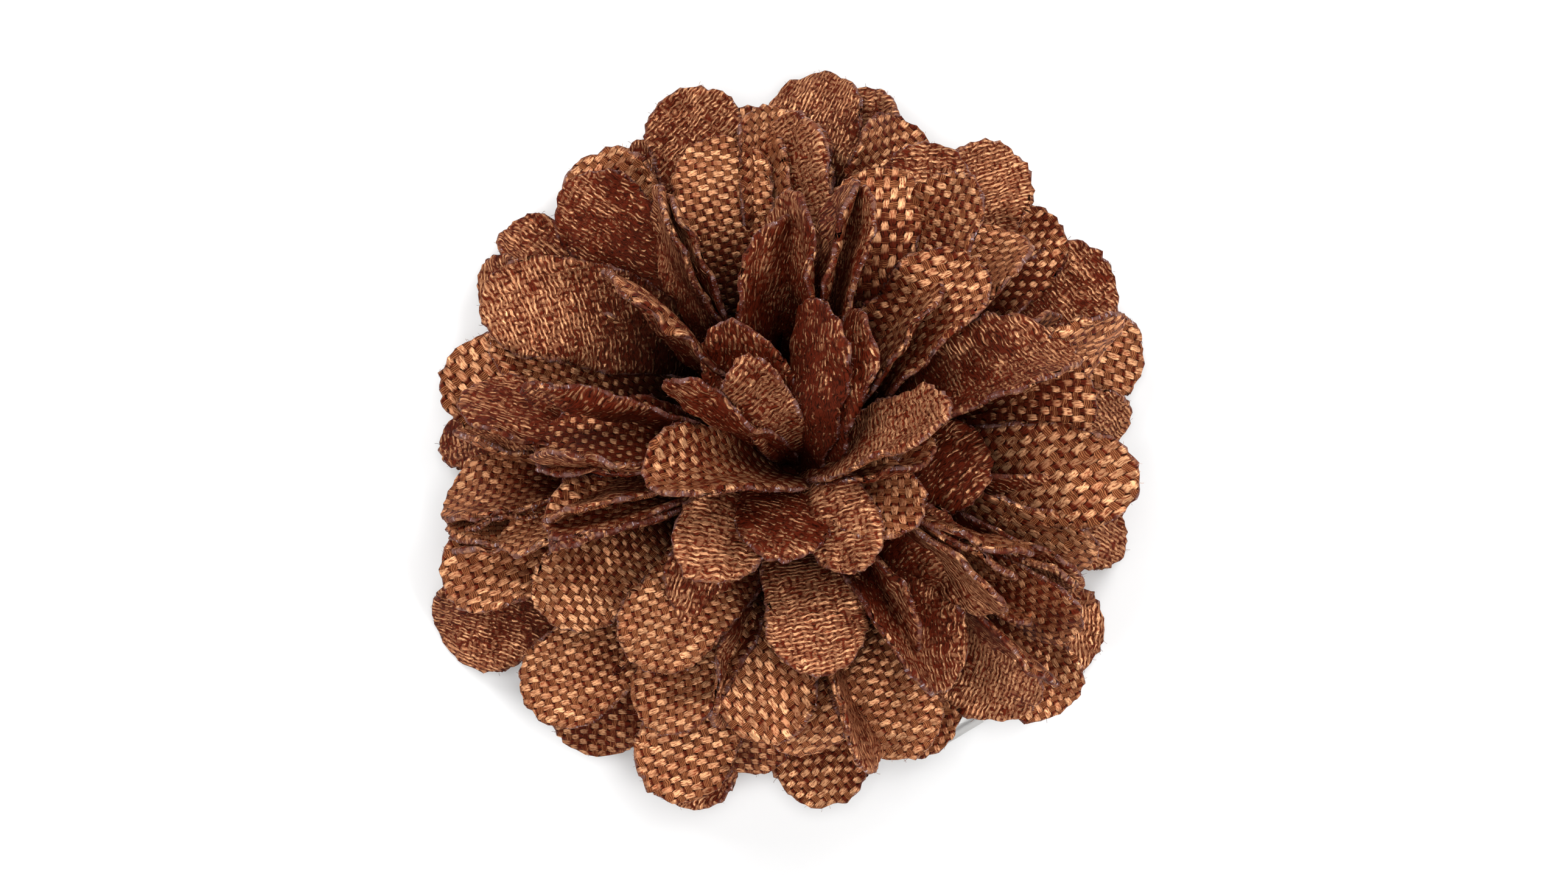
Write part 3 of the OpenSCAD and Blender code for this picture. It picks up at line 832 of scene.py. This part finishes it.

# Petals whose form or dye stands out: layer, row, and the values that replace the row's own
# or the drawn ones. Low tone with high redness on some, such as the heart's row 5, is painted shade
accents = {
    ("petals_heart", 0): {"wide": 0.60, "roll": -20, "cup": 0.05, "curl": 0.06, "twist": 10,
                          "redness": 0.35, "toneAndShade": 0.45},
    ("petals_heart", 1): {"wide": 0.80, "roll": 24, "cup": -0.08, "curl": -0.02, "twist": -8,
                          "redness": 0.2, "toneAndShade": 0.7},
    ("petals_heart", 2): {"cup": 0.16, "curl": 0.05, "redness": 0.3, "toneAndShade": 0.6},
    ("petals_heart", 3): {"wide": 0.82, "roll": -40, "cup": 0.24, "curl": 0.12, "redness": 0.15,
                          "toneAndShade": 0.8},
    ("petals_heart", 4): {"cup": 0.30, "redness": 0.7, "toneAndShade": 0.3},
    ("petals_heart", 5): {"reach": 0.31, "roll": 10, "cup": -0.04, "curl": 0.10, "twist": -6,
                          "redness": 0.9, "toneAndShade": 0.2},
    ("petals_heart", 6): {"cup": 0.15, "twist": 5, "redness": 1.0, "toneAndShade": 0.15},
    ("petals_heart", 7): {"cup": 0.22, "twist": -10, "redness": 1.0, "toneAndShade": 0.15},
    ("petals_heart", 8): {"cup": 0.16, "curl": 0.06, "fold": 1.5, "twist": 0, "redness": 0.6,
                          "toneAndShade": 0.5},
    ("petals_heart", 9): {"wide": 0.50, "reach": 0.43, "redness": 0.9, "toneAndShade": 0.3},
    ("petals_heart", 10): {"cup": 0.05, "redness": 0.1, "toneAndShade": 0.9},
    ("petals_heart", 11): {"cup": 0.12, "redness": 0.9, "toneAndShade": 0.2},
    ("petals_inner", 0): {"redness": 0.5, "toneAndShade": 0.5},
    ("petals_inner", 1): {"cup": 0.02, "twist": 0, "redness": 0.05, "toneAndShade": 1.0},
    ("petals_inner", 2): {"redness": 0.9, "toneAndShade": 0.3},
    ("petals_inner", 3): {"redness": 0.6, "toneAndShade": 0.4},
    ("petals_inner", 4): {"redness": 0.6, "toneAndShade": 0.5},
    ("petals_inner", 5): {"cup": 0.20, "redness": 1.0, "toneAndShade": 0.1},
    ("petals_inner", 6): {"cup": 0.16, "redness": 0.85, "toneAndShade": 0.3},
    ("petals_inner", 8): {"redness": 0.3, "toneAndShade": 0.8},
    ("petals_inner", 19): {"redness": 0.5, "toneAndShade": 0.5},
    ("petals_inner", 21): {"redness": 0.9, "toneAndShade": 0.3},
    ("petals_inner", 23): {"cup": 0.28, "redness": 0.5, "toneAndShade": 0.4},
    ("petals_middle", 0): {"grain": -17, "weaveScale": 0.82, "redness": 0.6, "toneAndShade": 0.6,
                           "twist": 0, "cup": 0.02},
    ("petals_middle", 4): {"redness": 0.3, "toneAndShade": 0.8},
    ("petals_middle", 7): {"redness": 0.1, "toneAndShade": 0.9},
    ("petals_middle", 10): {"grain": 83, "redness": 0.1, "toneAndShade": 1.0, "cup": 0.0, "twist": 0},
    ("petals_middle", 18): {"grain": -43, "weaveScale": 0.82, "redness": 0.5, "toneAndShade": 0.9,
                            "twist": 0, "cup": 0.02},
    ("petals_outer", 1): {"grain": 87, "weaveScale": 1.12, "redness": 0.15, "toneAndShade": 0.7,
                          "twist": 0, "cup": -0.05},
    ("petals_outer", 3): {"redness": 0.9, "toneAndShade": 0.4},
    ("petals_outer", 4): {"cup": 0.02, "twist": 0, "curl": -0.04, "redness": 0.3, "toneAndShade": 0.8},
    ("petals_outer", 11): {"weaveScale": 0.9, "redness": 0.3, "toneAndShade": 1.0},
    ("petals_outer", 14): {"redness": 0.2, "toneAndShade": 1.0},
    ("petals_outer", 17): {"redness": 0.2, "toneAndShade": 0.9},
    ("petals_back", 16): {"redness": 0.6, "toneAndShade": 0.7},
    ("petals_back", 19): {"weaveScale": 0.85, "redness": 0.3, "toneAndShade": 0.9},
}


def petalPoints(name):
    rows = petals[name]
    chance = random.Random(name)
    values = {key: [] for key in (*petalSettings, "toneAndShade", "redness")}
    for index, (turn, reach, rise, sweep, roll, wide, clothSide, grain) in enumerate(rows):
        frontUp = abs(roll) <= 90
        row = {
            "turn": math.radians(turn), "reach": reach, "rise": rise, "sweep": math.radians(sweep),
            "roll": roll, "wide": wide,
            "cup": chance.uniform(*drawn["cup"]), "curl": chance.uniform(*drawn["curl"]),
            "twist": chance.uniform(*drawn["twist"]), "fold": 0.0,
            "number": index + 0.37, "grain": grain + chance.uniform(*drawn["grainShift"]),
            "weaveScale": chance.uniform(*drawn["weaveScale"]),
            "basketUp": float((clothSide == "basket") == frontUp),
            "toneAndShade": chance.uniform(*layers[name]["toneAndShade"]),
            "redness": chance.uniform(*drawn["redness"]),
        }
        row.update(accents.get((name, index), {}))
        for key in ("roll", "twist", "grain"):
            row[key] = math.radians(row[key])
        for key, value in row.items():
            values[key].append(value)
    mesh = bpy.data.meshes.new(name + "_points")
    mesh.from_pydata([(0, 0, 0)] * len(rows), [], [])
    for key, column in values.items():
        mesh.attributes.new(key, "FLOAT", "POINT").data.foreach_set("value", column)
    return mesh


def makeLayer(name, place, bow):
    base = bpy.data.objects.new(name + "_base", petalPoints(name))
    bpy.context.scene.collection.objects.link(base)
    modifier = base.modifiers.new("petalLayer", "NODES")
    modifier.node_group = layerTree
    discRadius = head["discRadius"] - head["discStep"] * place
    sizes = {
        "Root Radius": discRadius - head["rootDepth"],
        "Root Height": head["discUnder"] + head["discThickness"] / 2 + head["discPitch"] * place,
        "Bow": bow, "Head Radius": head["radius"], "Head Depth": head["depth"],
        "Dome Height": head["domeHeight"], "Petal Width": head["petalWidth"],
        "Root Share": head["rootShare"], "Cloth Thickness": head["clothThickness"],
        "Disc Radius": discRadius, "Disc Thickness": head["discThickness"],
        "Columns": head["columns"], "Rows": head["rows"], "Fray": fibres["fray"],
        "Seed": place + 3, "Basket Cloth": basketCloth, "Crepe Cloth": crepeCloth,
    }
    for item in layerTree.interface.items_tree:
        if item.item_type == "SOCKET" and item.in_out == "INPUT" and item.name in sizes:
            modifier[item.identifier] = sizes[item.name]
    graph = bpy.context.evaluated_depsgraph_get()
    shaped = base.evaluated_get(graph)
    mesh = bpy.data.meshes.new_from_object(shaped, preserve_all_data_layers=True, depsgraph=graph)
    bpy.data.objects.remove(base)
    cx, cy = head["centre"]
    for vertex in mesh.vertices:
        vertex.co.x += cx * mm
        vertex.co.y += cy * mm
    mesh.materials.pop(index=0)  # the empty slot of the grid
    for spare in [a.name for a in mesh.attributes if a.name in (*petalSettings, "id")]:
        mesh.attributes.remove(mesh.attributes[spare])
    mesh.shade_smooth()
    piece = bpy.data.objects.new(name + "_cloth", mesh)
    bpy.context.scene.collection.objects.link(piece)
    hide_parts(name)
    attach(piece, "root")
    mesh.calc_loop_triangles()
    print(name, "made,", len(mesh.loop_triangles), "triangles")
    return piece, sizes


# The size of a layer's cloth before it is gathered, a strip of its petals side by side, is printed; its
# cut area with the disc is worked out but not used
def declareCloth(name, sizes):
    widths, lengths = [], []
    for index, (turn, reach, rise, sweep, roll, wide, clothSide, grain) in enumerate(petals[name]):
        own = accents.get((name, index), {})
        run = head["radius"] * own.get("reach", reach) - sizes["Root Radius"]
        climb = head["domeHeight"] + head["depth"] * rise - sizes["Root Height"]
        widths.append(head["petalWidth"] * own.get("wide", wide))
        lengths.append(math.hypot(run, climb) * (1 + head["bowStretch"] * sizes["Bow"] ** 2))
    cutArea = sum(head["cutShare"] * w * l for w, l in zip(widths, lengths))
    cutArea += math.pi * sizes["Disc Radius"] ** 2
    strip = (sum(widths) * mm, max(lengths) * mm)
    cutArea * mm * mm
    print(name, "cut from %.0f by %.0f mm" % (strip[0] / mm, strip[1] / mm))


# Each layer made and attached to the root, and the size of its cloth printed
made = {name: makeLayer(name, layer["place"], layer["bow"]) for name, layer in layers.items()}
for name, (piece, sizes) in made.items():
    declareCloth(name, sizes)


# The pin's metal. Its grey is darker than bright nickel, painted shade for the pin lying in shadow
# between the petals. reliefDepth is in millimetres

plate = {
    "steelWithPaintedShade": (0.50, 0.49, 0.48),
    "rub": (0.30, 0.29, 0.28),
    "roughness": 0.28,
    "reliefDepth": 0.02,
    "reliefStrength": 0.35,
}


def pinMaterial():
    material, tree, shader = newMaterial("nickelPlate")
    coords = out(newNode(tree, "ShaderNodeTexCoord"), "Object")
    cloud = noise(coords, 260.0, 3.0)
    drawMarks = noise(coords * (900.0, 5200.0, 5200.0), 1.0, 2.0)
    plug(mix(ease(cloud, 0.45, 0.75), plate["steelWithPaintedShade"], plate["rub"]), shader.inputs["Base Color"])
    plug(plate["roughness"] + cloud * 0.12 + drawMarks * 0.08, shader.inputs["Roughness"])
    shader.inputs["Metallic"].default_value = 1.0
    plugBump(tree, shader, drawMarks, plate["reliefDepth"], plate["reliefStrength"])
    return material


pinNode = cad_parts["pin"]
pinNode.data.materials.clear()
pinNode.data.materials.append(pinMaterial())
print("pin plated")


# Pale floor, soft light and the camera straight above. ring: direction and share of the power of
# each lamp in the ring

studio = {
    "floorColor": (0.86, 0.86, 0.86),
    "floorRoughness": 0.9,
    "cameraHeight": 0.40,
    "lens": 136.7,
    "worldColor": (0.95, 0.97, 1.0, 1),
    "worldStrength": 0.05,
    "ring": ((55, 0.95), (125, 1.04), (215, 0.86), (325, 1.02)),
    "ringRadius": 0.55,
    "ringHeight": 0.40,
    "ringWidth": 0.36,
    "ringPower": 2.6,
    "skyPlace": (0.02, 0.03, 0.85),
    "skyWidth": 0.45,
    "skyPower": 3.4,
}


def makeFloor():
    mesh = bpy.data.meshes.new("studioFloor")
    mesh.from_pydata([(-1, -1, 0), (1, -1, 0), (1, 1, 0), (-1, 1, 0)], [], [(0, 1, 2, 3)])
    floor = bpy.data.objects.new("studioFloor", mesh)
    bpy.context.scene.collection.objects.link(floor)
    material, tree, shader = newMaterial("paleFloor")
    plug(studio["floorColor"], shader.inputs["Base Color"])
    plug(studio["floorRoughness"], shader.inputs["Roughness"])
    mesh.materials.append(material)


def makeLight(name, place, width, power):
    light = bpy.data.lights.new(name, "AREA")
    light.shape = "DISK"
    light.size = width
    light.energy = power
    lamp = bpy.data.objects.new(name, light)
    lamp.location = place
    lamp.rotation_euler = (-lamp.location).to_track_quat("-Z", "Y").to_euler()
    bpy.context.scene.collection.objects.link(lamp)


makeFloor()
for index, (direction, share) in enumerate(studio["ring"]):
    around = math.radians(direction)
    aside, ahead = studio["ringRadius"] * math.cos(around), studio["ringRadius"] * math.sin(around)
    makeLight("ringLight%d" % index, (aside, ahead, studio["ringHeight"]), studio["ringWidth"],
              studio["ringPower"] * share)
makeLight("overheadLight", studio["skyPlace"], studio["skyWidth"], studio["skyPower"])
world = bpy.data.worlds.new("studioWorld")
world.use_nodes = True
background = world.node_tree.nodes["Background"]
background.inputs["Color"].default_value = studio["worldColor"]
background.inputs["Strength"].default_value = studio["worldStrength"]
bpy.context.scene.world = world

lens = bpy.data.cameras.new("camera")
lens.lens = studio["lens"]
lens.clip_start = 0.01
camera = bpy.data.objects.new("camera", lens)
camera.location = (0, 0, studio["cameraHeight"])
bpy.context.scene.collection.objects.link(camera)
bpy.context.scene.camera = camera
bpy.context.scene.view_settings.view_transform = "Standard"
print("studio made")
